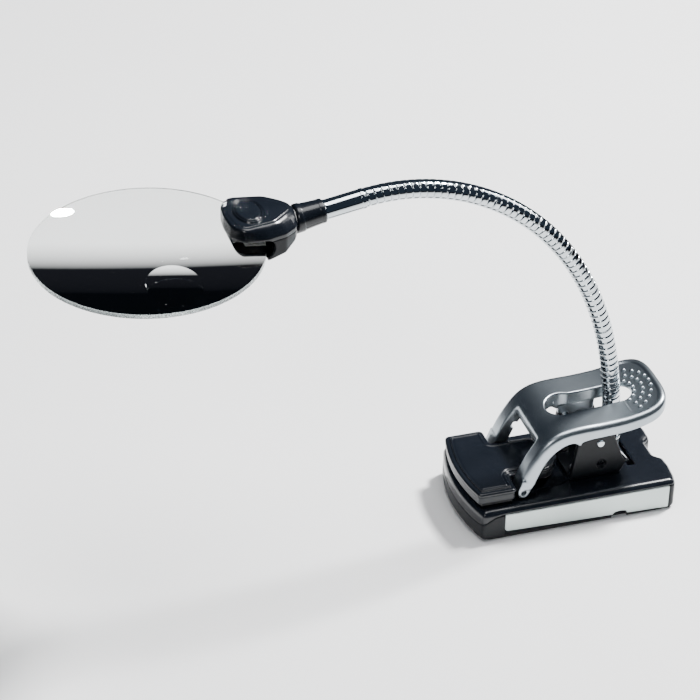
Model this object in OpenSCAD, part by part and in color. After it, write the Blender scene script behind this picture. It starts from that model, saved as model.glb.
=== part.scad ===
// Clip-on magnifying lamp: a rimless round magnifier with a small bifocal inset and a lit head,
// on a goose-neck that stands in a battery base with a sprung clamp lever.
// Millimetres, +Z up, the table at z = 0. X runs along the base, with the jaw and the lens at -X.
// Y is across it. The origin is the centre of the base's footprint.

/* [View] */
// Which sub-part to draw

/* [Base] */
// X of the base's front corners, mm
base_front = -50;
// How far the front face bulges past its corners, mm
front_bulge = 5.5;
// X of the base's rear edge, mm
base_rear = 56;
// Width of the base, mm
base_width = 61.5;
// Height of the base's top face, mm
base_top = 17.5;
// Thickness of the rubber mat under the base, mm
foot_height = 1.2;
// Wall of the base's mouldings, mm
base_wall = 2; // [1.5:0.1:2.5]
// Diameter of a battery cell, mm
cell_diameter = 10.4;
// Length of a battery cell, mm
cell_length = 44.5;

/* [Lever] */
// X and Z of the lever's pivot, mm
pivot = [16.7, 37.7];
// X and Z of the jaw's hinge, mm
jaw_hinge = [-26.8, 21.1];
// Width of the lever, mm
lever_width = 48.8;
// Width of the opening between the lever's arms, mm
arm_gap = 29.6;
// Radius of the pivot pin, mm
pin_radius = 1.6;
// Radius of the jaw's two hinge pins, mm
jaw_pin_radius = 1.28;
// Radius of the spring wire, mm
wire_radius = 0.7;

/* [Neck] */
// X and Z of the flexible neck's foot, mm
neck_foot = [28.4, 31];
// Diameter of the neck, mm
neck_diameter = 9.3;
// Diameter of the neck's bore, mm
neck_bore = 5.8; // [5:0.1:6.5]
// Length of one neck segment along its centre line, mm
segment_length = 26.9;
// Turn of the first segment, degrees
first_turn = 5.5;
// How much more each segment turns than the one before, degrees
turn_step = 1.4;
// Gap between two segments, mm
segment_gap = 0.9;

/* [Head and lens] */
// Diameter of the lens, mm
lens_diameter = 110;
// Thickness of the lens at its rim, mm
lens_rim = 2.2;
// How far each face of the lens bulges, mm
lens_sag = 3.2; // [2.5:0.1:3.6]
// Diameter of the bifocal inset, mm
inset_diameter = 27;
// X of the lens centre from the end of the collar, mm
lens_x = -72;
// Z of the lens centre from the end of the collar, mm
lens_z = -5.7;

/* [Hidden] */
$fn = 48;

hw = base_width / 2;
// One lobe of the rear edge, and its side of the notch between the two
rear_lobe = [[base_rear - 0.9, -24.5, 8], [base_rear, -16, 8], [base_rear - 0.5, -9.4, 3],
    [base_rear - 4.4, -5.6, 3.2]];
front_radius = (hw * hw + front_bulge * front_bulge) / (2 * front_bulge);
front_centre = base_front - front_bulge + front_radius;
seam = base_top - 2.8;
trim = [-38.5, 50.5];
trim_thickness = 1.2;
door = [-54.2, -9];
slot_x = [34.9, 38.9];
screw_x = [-46.5, 46];
screw_y = 25.4;
stem_half = 14.2;

BLACK = [0.05, 0.05, 0.055];
SATIN = [0.55, 0.57, 0.59];
CHROME = [0.78, 0.8, 0.82];
RUBBER = [0.09, 0.09, 0.09];
STEEL = [0.5, 0.5, 0.52];

// ---- plane geometry ----

function unit(v) = v / norm(v);

// One vertex p with its neighbours a and b, rounded to radius r
function corner(p, a, b, r, n) =
    let (u = unit(a - p), v = unit(b - p), half = acos(max(-1, min(1, u * v))) / 2)
    r <= 0 || half > 89 ? [p] :
    let (d = r / tan(half), o = p + unit(u + v) * r / sin(half), s = p + u * d - o,
        e = p + v * d - o, a0 = atan2(s[1], s[0]), a1 = atan2(e[1], e[0]),
        da = a1 - a0 > 180 ? a1 - a0 - 360 : a1 - a0 < -180 ? a1 - a0 + 360 : a1 - a0)
    [for (i = [0:n]) o + r * [cos(a0 + da * i / n), sin(a0 + da * i / n)]];

// A polygon's points from [x, y, corner radius]
function rounded(q, n = 5) = [for (i = [0:len(q) - 1])
    each corner([q[i][0], q[i][1]],
        [q[(i + len(q) - 1) % len(q)][0], q[(i + len(q) - 1) % len(q)][1]],
        [q[(i + 1) % len(q)][0], q[(i + 1) % len(q)][1]], q[i][2], n)];

// Half an outline, and its mirror image in the X axis
function mirrored(q) = concat(q, [for (i = [len(q) - 1:-1:0])
    if (q[i][1] != 0) [q[i][0], -q[i][1], q[i][2]]]);

function backward(q) = [for (i = [len(q) - 1:-1:0]) q[i]];

function mirror_back(q) = [for (i = [len(q) - 1:-1:0]) [q[i][0], -q[i][1], q[i][2]]];

function arc(c, r, a0, a1, n) = [for (i = [0:n])
    c + r * [cos(a0 + (a1 - a0) * i / n), sin(a0 + (a1 - a0) * i / n)]];

function oval(a, b, n = 32) = [for (i = [0:n - 1]) [a * cos(i * 360 / n), b * sin(i * 360 / n)]];

// A side view in X and Z, drawn out from y0 to y1
module along_y(points, y0, y1)
    translate([0, y1, 0]) rotate([90, 0, 0]) linear_extrude(y1 - y0) polygon(points);

// An end view in Y and Z, drawn out from x0 to x1
module along_x(points, x0, x1)
    translate([x0, 0, 0]) rotate([90, 0, 90]) linear_extrude(x1 - x0) polygon(points);

module up(points, z0, z1) translate([0, 0, z0]) linear_extrude(z1 - z0) polygon(points);

// A round bar from y0 to y1 at X and Z
module bar_y(at, r, y0, y1)
    translate([at[0], y1, at[1]]) rotate([90, 0, 0]) cylinder(r = r, h = y1 - y0);

module peg(x, y, r, z0, z1) translate([x, y, z0]) cylinder(r = r, h = z1 - z0);

module block(x, y, z) translate([x[0], y[0], z[0]]) cube([x[1] - x[0], y[1] - y[0], z[1] - z[0]]);

module both_sides() { children(); mirror([0, 1, 0]) children(); }

// ---- wire swept along a path ----

function way(p, i) = unit(p[min(i + 1, len(p) - 1)] - p[max(i - 1, 0)]);
function across(v, t) = unit(v - (v * t) * t);
function sides(p, v) = [for (i = 0, n = across(v, way(p, 0)); i < len(p);
    i = i + 1, n = i < len(p) ? across(n, way(p, i)) : n) n];

module wire(p, r, v, n = 8) {
    s = sides(p, v);
    polyhedron([for (i = [0:len(p) - 1]) for (k = [0:n - 1])
            p[i] + r * (cos(k * 360 / n) * s[i] + sin(k * 360 / n) * cross(way(p, i), s[i]))],
        concat([[for (k = [n - 1:-1:0]) k]], [[for (k = [0:n - 1]) (len(p) - 1) * n + k]],
            [for (i = [0:len(p) - 2]) for (k = [0:n - 1]) each [
                [i * n + k, i * n + (k + 1) % n, (i + 1) * n + k],
                [i * n + (k + 1) % n, (i + 1) * n + (k + 1) % n, (i + 1) * n + k]]]));
}

// ---- base ----

base_outline = rounded(concat([[base_front - 12, -hw, 0], [base_rear - 2.6, -hw, 3.5]], rear_lobe,
    mirror_back(rear_lobe), [[base_rear - 2.6, hw, 3.5], [base_front - 12, hw, 0]]));

base_end = rounded([[-hw, foot_height, 1], [hw, foot_height, 1], [hw, base_top, 3.5],
    [-hw, base_top, 3.5]], 6);

// The outside of the closed base: end view, rear edge and curved front together
module base_body() {
    intersection() {
        along_x(base_end, base_front - 10, base_rear + 1);
        up(base_outline, 0, base_top + 1);
        translate([front_centre, 0, foot_height]) rotate_extrude($fn = 96)
            polygon([[0, 0], [front_radius - 1, 0], [front_radius, 1],
                [front_radius, base_top - foot_height - 2.5],
                [front_radius - 2.5, base_top - foot_height], [0, base_top - foot_height]]);
        block([base_front - 10, base_rear - 0.01], [-hw, hw], [0, base_top]);
    }
}

// Where the cover meets the tray, seen from the side: low at the front, high along the sides
cover_side = [[base_front - 10, 9.3], [base_front - 1.5, 9.3], [-43.5, 14], [-38.5, seam],
    [base_rear + 1, seam], [base_rear + 1, base_top + 1], [base_front - 10, base_top + 1]];

module base_cover() {
    color(BLACK) difference() {
        intersection() { base_body(); along_y(cover_side, -hw - 1, hw + 1); }
        // the inside
        intersection() {
            translate([front_centre, 0, 0]) cylinder(r = front_radius - base_wall, h = 15.3, $fn = 96);
            block([-60, 50], [-27.9, 27.9], [0, 15.3]);
        }
        // the shallow pocket under the jaw's stem and the lever's eyelets
        up(rounded(mirrored([[-33, 24.5, 2], [-20, 24.5, 3], [-17, 17, 3], [2.5, 17, 8]])),
            base_top - 0.9, base_top + 1);
        // the slot for the spring's loop, and the hole of the neck's socket
        block(slot_x, [-11.5, 11.5], [14, 19]);
        peg(neck_foot[0], 0, 4.05, 14, 19);
        for (y = [-8.5, 8.5]) peg(7, y, 1.6, 14, 19);
    }
    // the four posts that take the screws
    color(BLACK) for (x = screw_x) both_sides() difference() {
        peg(x, screw_y, 2.4, 2.85, 15.4);
        peg(x, screw_y, 1.22, 0, 13);
    }
}

// The arches in the underside of the two side walls
module side_arches() for (y = [hw + 1, -27.9]) translate([24, y, 0]) rotate([90, 0, 0])
    cylinder(r = 4.2, h = hw - 26.9);

module base_tray() {
    color(BLACK) difference() {
        base_body();
        along_y(cover_side, -hw - 1, hw + 1);
        // the inside
        intersection() {
            translate([front_centre, 0, 2.8]) cylinder(r = front_radius - base_wall, h = 20, $fn = 96);
            block([-60, 50], [-27.9, 27.9], [2.8, 20]);
        }
        // the beds of the two side strips
        for (s = [-1, 1]) block([trim[0], trim[1]], s > 0 ? [hw - trim_thickness, hw + 1] :
            [-hw - 1, -hw + trim_thickness], [0, 20]);
        // the bed of the battery door, open at the front, and the battery opening above it
        block([-60, door[1] + 0.1], [-22.9, 22.9], [0, 2.45]);
        block([-42.5, -9.5], [-22.5, 22.5], [0, 5]);
        side_arches();
        for (x = screw_x) both_sides() peg(x, screw_y, 1.25, 0, 5);
    }
}

trim_side = rounded([[trim[0], 4.4, 2.2], [20, 2.6, 0], [21, 3.9, 0.8], [24, 4.4, 2],
    [27, 3.9, 0.8], [28, 2.3, 0], [trim[1], 1.5, 0.6], [trim[1], seam, 0], [trim[0], seam, 0.5]]);

module side_trim_left() { color(SATIN) along_y(trim_side, hw - trim_thickness, hw); }
module side_trim_right() { color(SATIN) along_y(trim_side, -hw, -hw + trim_thickness); }

// A mat round three sides of the battery door
module rubber_foot() {
    color(RUBBER) difference() {
        up(rounded(mirrored([[50, 0, 0], [50, 7, 2], [53.6, 10, 2], [53.6, 29.4, 3],
            [-48.6, 29.4, 3], [-47.4, 23.3, 1], [-7.5, 23.3, 3]])), 0, foot_height);
        side_arches();
    }
}

module battery_door() {
    color(BLACK) difference() {
        intersection() {
            block([-60, door[1]], [-22.8, 22.8], [foot_height, 2.4]);
            translate([front_centre, 0, 0]) cylinder(r = front_radius - 1, h = 5, $fn = 96);
        }
        for (x = [-20, -17, -14]) block([x, x + 1.2], [-9, 9], [0, foot_height + 0.5]);
    }
}

cell_x = [-37.2, -26, -14.8];

module batteries() {
    color([0.2, 0.35, 0.3]) for (x = cell_x) {
        bar_y([x, 2.5 + cell_diameter / 2], cell_diameter / 2, -cell_length / 2 - 0.15, 21.4);
        bar_y([x, 2.5 + cell_diameter / 2], 1.9, 21.4, 22.4);
    }
}

module battery_contacts() {
    color(STEEL) for (x = cell_x) {
        block([x - 4, x + 4], [22.4, 22.9], [2.8, 12.5]);
        block([x - 4, x + 4], [-22.9, -22.4], [2.8, 12.5]);
    }
}

module counterweight() {
    color(STEEL) difference() {
        up(rounded(mirrored([[49.2, 0, 0], [49.2, 22.6, 2], [43, 22.6, 0.5], [43, 27.2, 1],
            [-5, 27.2, 2]])), 2.9, 9.6);
        peg(neck_foot[0], 0, 4.6, 8, 12);
    }
}

module driver_board() {
    color([0.08, 0.3, 0.16]) block([-3, 15.5], [-20, 20], [9.6, 10.9]);
    color(BLACK) { block([1, 7], [-4, 3], [10.9, 12.3]); bar_y([11, 12.6], 1.7, -15, -6); }
}

module base_screws() {
    color(STEEL) for (x = screw_x) both_sides() peg(x, screw_y, 1.2, foot_height + 0.05, 12);
}

module lower_jaw_pad() {
    color(RUBBER) intersection() {
        block([-60, -34.5], [-24, 24], [base_top, base_top + 1]);
        translate([front_centre, 0, 0]) cylinder(r = front_radius - 3.2, h = 30, $fn = 96);
    }
}

// ---- pivot bracket, pin and spring ----

ear_side = rounded([[1.5, base_top, 0], [5.2, 42.3, 2], [23.6, 42.3, 2], [31.3, 22.6, 2.6],
    [27.4, base_top, 1.6]]);

module pivot_bracket() {
    color(BLACK) difference() {
        union() {
            both_sides() along_y(ear_side, 13, 16);
            block([1.6, 21.4], [-13, 13], [base_top, base_top + 1.5]);
        }
        bar_y(pivot, pin_radius + 0.02, -20, 20);
        bar_y([18, 24.4], 2.5, -20, 20);
        for (y = [-8.5, 8.5]) peg(7, y, 1.6, 0, 30);
    }
}

module bracket_screws() {
    color(STEEL) for (y = [-8.5, 8.5]) {
        peg(7, y, 1.5, 12.5, base_top + 1.5);
        peg(7, y, 2.7, base_top + 1.5, base_top + 2.8);
    }
}

module pivot_pin() {
    color(CHROME) {
        bar_y(pivot, pin_radius, -16, 16);
        both_sides() bar_y(pivot, 2.3, 16, 16.8);
    }
}

coil_radius = 3.4;
coil_turns = 2.786;

// One coil from its inner end outward, turning clockwise about the pin
function coil(side) = [for (i = [0:44]) let (a = -40 - i * coil_turns * 360 / 44)
    [pivot[0] + coil_radius * cos(a), side * (2.65 + i * coil_turns * 1.55 / 44),
        pivot[1] + coil_radius * sin(a)]];
// From the coil down to the bar that hooks under the edge of the base's slot
function loop_side(side) = [[35.4, side * 7.3, 18.7], [36.8, side * 6.9, 16.9],
    [36.9, side * 5.5, 16.2]];

module torsion_spring() {
    color(CHROME) wire(concat(coil(1), loop_side(1), backward(loop_side(-1)), backward(coil(-1))),
        wire_radius, [1, 0, 0.2]);
}

// The two inner legs, which bear on the lever's cross bar
module spring_legs() {
    color(CHROME) both_sides() translate([pivot[0], 2.2, pivot[1]]) rotate([90, 0, 0]) {
        rotate([0, 0, 20]) rotate_extrude(angle = 60)
            translate([coil_radius, 0]) circle(r = wire_radius);
        rotate([0, 0, 80]) translate([coil_radius, 0, 0]) rotate([-90, 0, 0])
            cylinder(r = wire_radius, h = 14.5);
    }
}

// ---- neck socket ----

module neck_socket() {
    color(CHROME) difference() {
        union() {
            peg(neck_foot[0], 0, 5.4, base_top, neck_foot[1] - segment_gap / 2);
            peg(neck_foot[0], 0, 4, 9.8, base_top);
        }
        peg(neck_foot[0], 0, neck_bore / 2, 0, 40);
    }
}

module socket_nut() {
    color(STEEL) difference() {
        translate([neck_foot[0], 0, 12.4]) rotate([0, 0, 30]) cylinder(r = 6.9, h = 2.9, $fn = 6);
        peg(neck_foot[0], 0, 4.03, 10, 20);
    }
}

// ---- lever ----

// The lever's top and bottom line from the eyelets to the paddle's tip
lever_top = [[-30, 22.5], [-27, 30.6], [-24, 37], [-20.9, 42.2], [-17.5, 46.9], [-13.6, 50.5],
    [-8.6, 53], [-3, 54.2], [4, 54.7], [15, 54.9], [26, 55.7], [33, 56.9], [39, 58.4],
    [45, 60.4], [51, 62.9], [54.5, 64.5]];
lever_low = [[-21.2, 25.6], [-18, 33.2], [-15.8, 37.4], [-13, 41], [-10, 43.6], [-5.9, 46],
    [-1.4, 46.6], [1.6, 44.8], [2.6, 44.8], [3.4, 46.4], [8, 47.3], [15, 47.7], [26, 48.4],
    [34, 49.8], [40.5, 51.6], [46.6, 53.8], [56, 58]];
// The same line under the web between the two side walls
web_low = [[-21.2, 25.6], [-17.2, 41.5], [-14, 45], [-10.6, 47.9], [-6.9, 49.9], [-2.3, 51],
    [4, 51.5], [15, 51.7], [25.5, 52.4], [32.2, 53.5], [38, 55], [44, 57], [53, 60.8]];

// Seen from above: straight sides and a paddle end that is rounder than a box, squarer than a circle
module lever_outline(inset, z0, z1) {
    h = lever_width / 2 - inset;
    up(concat([[-40, -h]], [for (i = [-16:16]) let (a = i * 90 / 16)
        [32 + (20 - inset) * pow(cos(a), 0.6), h * sign(a) * pow(abs(sin(a)), 0.6)]],
        [[-40, h]]), z0, z1);
}

// Everywhere but the wall that hangs down round the front part of the slot
module slot_wall_room() {
    h = lever_width / 2;
    block([-30, 60], [-h, h], [0, 43]);
    block([27, 60], [-h, h], [42, 80]);
    difference() {
        block([-30, 28], [-h, h], [42, 80]);
        peg(1.3, 0, 10.6, 40, 82);
        block([1.3, 30], [-9.1, 9.1], [40, 82]);
    }
}

module lever() {
    h = lever_width / 2;
    color(SATIN) difference() {
        union() {
            intersection() {
                along_y(concat(lever_top, backward(lever_low)), -h, h);
                lever_outline(0, 10, 80);
            }
            // the eyelets at the ends of the arms
            both_sides() bar_y(jaw_hinge, 3.1, arm_gap / 2, h);
            both_sides() along_y([[-29.9, 21.7], [-30, 22.5], [-28, 28], [-21.2, 25.6], [-23.95, 19.9],
                [-25.3, 21.1], [-26.8, 22.6], [-28.3, 21.1]], arm_gap / 2, h);
        }
        bar_y(jaw_hinge, jaw_pin_radius + 0.07, -40, 40);
        // the gap between the arms
        block([-40, -17.5], [-arm_gap / 2, arm_gap / 2], [0, 60]);
        // the hollow under the web
        intersection() {
            along_y(concat(web_low, [[56, 30], [-21.2, 20]]), -h + 2.6, h - 2.6);
            lever_outline(2.6, 10, 80);
            union() {
                block([-17.6, 60], [-arm_gap / 2, arm_gap / 2], [0, 80]);
                block([-6.5, 60], [-h, h], [0, 80]);
            }
            slot_wall_room();
        }
        // the slot that the neck stands in, wider at its front end
        peg(1.3, 0, 9, 40, 70);
        peg(30.2, 0, 7.5, 40, 70);
        block([1.3, 30.2], [-7.5, 7.5], [40, 70]);
        // the half-round relief inside each arm
        both_sides() bar_y([-17.9, 34.8], 2, 0, arm_gap / 2 + 3);
    }
    // the lugs that turn on the pin, and the bar that the spring bears on
    color(SATIN) difference() {
        union() {
            both_sides() along_y(concat(arc(pivot, 4.4, -150, -20, 14),
                [[22.5, 44], [23.5, 53], [2, 52.6], [3.2, 41.5]]), 9.3, 12.7);
            bar_y([7.4, 40.6], 1.4, -12.7, 12.7);
        }
        bar_y(pivot, pin_radius + 0.08, -20, 20);
    }
    // the grip studs on the paddle
    color(SATIN) for (ring = [[18.2, 11, 13.2], [14.2, 9, 15.4], [10, 7, 20]], i = [0:ring[1] - 1]) {
        a = (i - (ring[1] - 1) / 2) * ring[2];
        x = 28.6 + ring[0] * cos(a);
        z = lookup(x, lever_top);
        peg(x, ring[0] * sin(a), 0.9, z - 1.2, z + 0.75);
    }
}

// ---- jaw ----

// X of the jaw's curved front edge at a distance y from the middle
function jaw_front(y) = -55.2 + y * y / (2 * front_radius);

// The jaw's outline moved in by d: a wide bar with a narrower stem behind it
function jaw_plan(d) = rounded(mirrored(concat([for (y = [0:6:18]) [jaw_front(y) + d, y, 0]],
    [[jaw_front(26.4) + d, 26.4 - d, 2.2], [-31.2 - d, 26.4 - d, 2], [-31.2 - d, 15 - d, 1],
    [-30.2 - d / 2, stem_half - d, 1], [-9 - d / 2, stem_half - d, 7], [-1.8 - d, 5 - d / 2, 5]])));

module jaw_cover() {
    color(BLACK) { up(jaw_plan(0), 24.2, 26.2); up(jaw_plan(0.9), 26.2, 27.2); }
}

module jaw_frame() {
    color([0.2, 0.2, 0.21]) difference() {
        union() {
            up(jaw_plan(0.5), 19.7, 24.2);
            bar_y(jaw_hinge, 2.4, 0.5 - stem_half, stem_half - 0.5);
        }
        bar_y(jaw_hinge, jaw_pin_radius, -30, 30);
    }
}

module upper_jaw_pad() {
    color(RUBBER) intersection() {
        block([-60, -33.4], [-25, 25], [base_top + 1.1, 19.7]);
        translate([front_centre + 2.6, 0, 0]) cylinder(r = front_radius, h = 60, $fn = 96);
    }
}

module jaw_pins() {
    color(STEEL) both_sides() bar_y(jaw_hinge, jaw_pin_radius, 8, 21.5);
}

// ---- goose-neck ----

function turn(i) = first_turn + turn_step * i;
function heading(i) = 90 + first_turn * i + turn_step * i * (i - 1) / 2;
function bend(i) = segment_length * 180 / PI / turn(i);
function joint(i) = i == 0 ? neck_foot : joint(i - 1) + bend(i - 1) *
    [sin(heading(i)) - sin(heading(i - 1)), cos(heading(i - 1)) - cos(heading(i))];

module neck_segment(i) {
    g = segment_gap / 2 / bend(i) * 180 / PI;
    c = joint(i) + bend(i) * [-sin(heading(i)), cos(heading(i))];
    color(CHROME) translate([c[0], 0, c[1]]) rotate([90, 0, 0]) rotate([0, 0, heading(i) - 90 + g])
        rotate_extrude(angle = turn(i) - 2 * g) translate([bend(i), 0]) difference() {
            circle(d = neck_diameter);
            circle(d = neck_bore);
        }
}

module neck_segment_1() { neck_segment(0); }
module neck_segment_2() { neck_segment(1); }
module neck_segment_3() { neck_segment(2); }
module neck_segment_4() { neck_segment(3); }
module neck_segment_5() { neck_segment(4); }
module neck_segment_6() { neck_segment(5); }
module neck_segment_7() { neck_segment(6); }
module neck_segment_8() { neck_segment(7); }
module neck_segment_9() { neck_segment(8); }

// ---- head ----

ferrule_length = 19.7;
collar_length = 13.3;
neck_way = [cos(heading(9)), sin(heading(9))];
collar_end = joint(9) + neck_way * (ferrule_length + collar_length);

// A turned piece on the neck's end axis, from s0 to s1 past the last segment
module on_neck_axis(s0) {
    p = joint(9) + neck_way * s0;
    translate([p[0], 0, p[1]]) rotate([0, 90 - heading(9), 0]) children();
}

module at_head() { translate([collar_end[0], 0, collar_end[1]]) children(); }

module head_ferrule() {
    color(CHROME) on_neck_axis(-segment_gap / 2) difference() {
        cylinder(r = 4.95, h = ferrule_length + segment_gap / 2);
        translate([0, 0, -1]) cylinder(d = neck_bore, h = 30);
    }
}

module head_collar() {
    color(BLACK) difference() {
        on_neck_axis(ferrule_length) difference() {
            cylinder(r1 = 6, r2 = 7, h = collar_length + 3);
            translate([0, 0, -1]) cylinder(d = neck_bore, h = 30);
        }
        at_head() block([-20, head_rear], [-10, 10], [-12, 12]);
    }
}

// The head's outline from above, its side view and its end view, with the wall w taken off
function head_plan(w) = mirrored([[head_rear - w, 6.9 - w * 0.6, 1], [-3.5, 10.4 - w, 3],
    [-9, 14.5 - w, 6], [-18, 17.1 - w, 8], [-29.5 + w / 2, 16.7 - w, 3.5],
    [-34.4 + w, 9.4 - w / 2, 9], [-36 + w, 0, 12]]);
function head_side(w) = [[head_rear, -11, 0], [head_rear, 6.4 - w, 1], [-8, 7.8 - w, 5],
    [-31, 7.8 - w, 3], [-36.3 + w, 1.5, 2.5], [-33 + w, -11, 0]];
function head_end(w) = [[17.2 - w, -11, 0], [17.2 - w, 3.8, 3], [14 - w / 2, 7.8 - w, 1.6],
    [-14 + w / 2, 7.8 - w, 1.6], [-17.2 + w, 3.8, 3], [-17.2 + w, -11, 0]];
head_rear = -1.1;
part_z = -0.3;
under_z = -10.5;
button_x = -23.6;
screw_at = [-11.5, 9.2];
// The half-width of the holder between the two mouths that the lens goes in by
holder = 9.2;

module head_form(w, z0) {
    intersection() {
        up(rounded(head_plan(w)), z0, 12);
        along_y(rounded(head_side(w)), -20, 20);
        along_x(rounded(head_end(w)), -40, 5);
    }
}

// The room for the lens: tall mouths with a round end at the two sides, a low one in the middle
module lens_room() {
    for (y = [[-30, -holder], [holder, 30]]) {
        block([-45, -19.5], y, [-8.6, 0.8]);
        bar_y([-19.5, -3.9], 4.7, y[0], y[1]);
    }
    block([-45, -15], [-holder - 1, holder + 1], [-9, -2.4]);
}

module neck_hole() { translate([1, 0, 0]) rotate([0, -90, 0]) cylinder(d = neck_bore, h = 6); }

module head_upper_shell() {
    color(BLACK) at_head() {
        difference() {
            union() {
                difference() {
                    head_form(0, part_z);
                    head_form(1.8, part_z - 1);
                    lens_room();
                }
                // the ceiling of the lens mouths, and the holder between them
                intersection() {
                    head_form(1, -2.4);
                    union() {
                        both_sides() block([-40, -14.2], [holder - 1, 20], [0.8, 1.8]);
                        both_sides() block([-34.4, -12], [holder - 1, holder], [-2.4, 1.8]);
                        block([-40, -34], [-holder, holder], [-2.4, 1.8]);
                    }
                }
                // the bosses that take the screws, and the posts on the switch's board
                intersection() {
                    head_form(1, -5);
                    both_sides() {
                        peg(screw_at[0], screw_at[1], 2.6, -4.5, 10);
                        peg(-16.8, 6.9, 1.1, -0.6, 10);
                    }
                }
            }
            translate([button_x, 0, 0]) up(oval(6, 9.3), 0, 12);
            both_sides() peg(screw_at[0], screw_at[1], 1.05, -6, 1);
            neck_hole();
        }
        translate([button_x, 0, 0]) difference() {
            up(oval(6.8, 10.2), 7.4, 8.3);
            up(oval(6, 9.3), 7, 9);
        }
    }
}

// The lower shell's line from the neck to its front lip, outside and inside
shell_line = [[head_rear - 0.2, part_z + 1, 0], [head_rear - 0.2, -5, 1.5], [-3.5, -6.2, 2],
    [-9, -9.2, 4], [-17, under_z, 4], [-32.9, under_z, 1.2], [-33.4, -8, 0], [-36, part_z + 1, 0]];
shell_inside = [[-3, 1], [-3, -4.6], [-9.3, -7.8], [-16.5, -9.3], [-40, -9.3], [-40, 1]];

module head_lower_shell() {
    color(BLACK) at_head() difference() {
        union() {
            difference() {
                intersection() {
                    up(rounded(head_plan(0.25)), under_z, part_z);
                    along_y(rounded(shell_line), -20, 20);
                }
                intersection() {
                    up(rounded(head_plan(2)), -9.3, 1);
                    along_y(shell_inside, -20, 20);
                }
                lens_room();
                block([-45, -15], [-holder - 1, holder + 1], [-9, 1]);
                // the front lip is narrower, so that the lens's edge stands clear of it
                both_sides() block([-45, -18.5], [13, 30], [-12, 1]);
            }
            both_sides() peg(screw_at[0], screw_at[1], 2.8, -9.2, -6.9);
        }
        both_sides() {
            peg(screw_at[0], screw_at[1], 1.35, -12, 0);
            peg(screw_at[0], screw_at[1], 2.3, -12, -8.6);
        }
        block([-23.65, -18.95], [-6.3, 6.3], [-12, -9]);
        neck_hole();
    }
}

module lens_profile(n) {
    r = lens_diameter / 2;
    polygon(concat([for (i = [0:n]) [r * i / n, lens_rim / 2 + lens_sag * (1 - pow(i / n, 2))]],
        [for (i = [n:-1:0]) [r * i / n, -lens_rim / 2 - lens_sag * (1 - pow(i / n, 2))]]));
}

module lens() {
    color([0.8, 0.88, 0.86, 0.35]) at_head() translate([lens_x, 0, lens_z]) difference() {
        union() {
            rotate_extrude($fn = 128) lens_profile(16);
            translate([3.5, -35.6, 0]) rotate_extrude() polygon([[0, 0], [inset_diameter / 2, 0],
                [inset_diameter / 2, 2.6], [inset_diameter / 2 - 4, 3.7], [5, 4.3], [0, 4.5]]);
            block([50, 63.7], [-11.8, 11.8], [-lens_rim / 2, lens_rim / 2]);
        }
        both_sides() peg(screw_at[0] - lens_x, screw_at[1], 1.4, -5, 5);
    }
}

module power_button() {
    color([0.1, 0.1, 0.11]) at_head() translate([button_x, 0, 0]) {
        up(oval(5.8, 9.1), 5.8, 8.9);
        up(oval(6.6, 9.9), 4.8, 5.8);
    }
}

module button_switch() {
    color([0.12, 0.12, 0.13]) at_head() {
        block([-28, -15.4], [-8.1, 8.1], [-1.6, -0.6]);
        block([button_x - 3, button_x + 3], [-3, 3], [-0.6, 2.8]);
        peg(button_x, 0, 1.7, 2.8, 3.9);
    }
}

module led_board() {
    color([0.85, 0.85, 0.82]) at_head() block([-27.5, -17.4], [-6.6, 6.6], [-9.3, -8.4]);
}

module leds() {
    color([0.95, 0.93, 0.7]) at_head() for (y = [-4.4, 0, 4.4])
        block([-22.9, -19.7], [y - 1.5, y + 1.5], [-9.9, -9.3]);
}

module led_window() {
    color([0.9, 0.92, 0.92, 0.5]) at_head() block([-23.6, -19], [-6.25, 6.25], [under_z + 0.05, -9.95]);
}

module head_screws() {
    color(STEEL) at_head() both_sides() {
        peg(screw_at[0], screw_at[1], 1, -8.6, -0.5);
        peg(screw_at[0], screw_at[1], 2.2, -9.1, -8.6);
    }
}

// ---- what is drawn ----

base_cover();
base_tray();
side_trim_left();
side_trim_right();
rubber_foot();
battery_door();
batteries();
battery_contacts();
driver_board();
counterweight();
base_screws();
lower_jaw_pad();
pivot_bracket();
bracket_screws();
pivot_pin();
torsion_spring();
neck_socket();
socket_nut();
lever();
spring_legs();
jaw_cover();
jaw_frame();
upper_jaw_pad();
jaw_pins();
neck_segment_1();
neck_segment_2();
neck_segment_3();
neck_segment_4();
neck_segment_5();
neck_segment_6();
neck_segment_7();
neck_segment_8();
neck_segment_9();
head_ferrule();
head_collar();
head_upper_shell();
head_lower_shell();
lens();
power_button();
button_switch();
led_board();
leds();
led_window();
head_screws();
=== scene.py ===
import functools
import math

import bmesh
import bpy
import numpy as np
from mathutils import Matrix, Vector


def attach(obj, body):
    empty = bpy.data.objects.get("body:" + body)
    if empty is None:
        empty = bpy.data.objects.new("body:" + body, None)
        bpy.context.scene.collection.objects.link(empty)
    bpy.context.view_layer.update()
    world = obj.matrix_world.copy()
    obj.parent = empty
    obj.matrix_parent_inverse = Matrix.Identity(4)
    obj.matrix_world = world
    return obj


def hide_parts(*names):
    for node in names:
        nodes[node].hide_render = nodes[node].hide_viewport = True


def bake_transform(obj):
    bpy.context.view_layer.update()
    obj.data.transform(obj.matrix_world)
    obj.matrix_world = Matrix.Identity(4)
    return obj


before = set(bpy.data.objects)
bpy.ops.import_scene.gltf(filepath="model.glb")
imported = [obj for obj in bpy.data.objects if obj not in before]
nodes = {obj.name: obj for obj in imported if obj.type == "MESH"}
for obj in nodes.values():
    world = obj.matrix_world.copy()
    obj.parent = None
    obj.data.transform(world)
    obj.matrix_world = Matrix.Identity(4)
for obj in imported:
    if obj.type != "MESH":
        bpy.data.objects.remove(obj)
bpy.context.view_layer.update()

MM = 0.001

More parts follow.
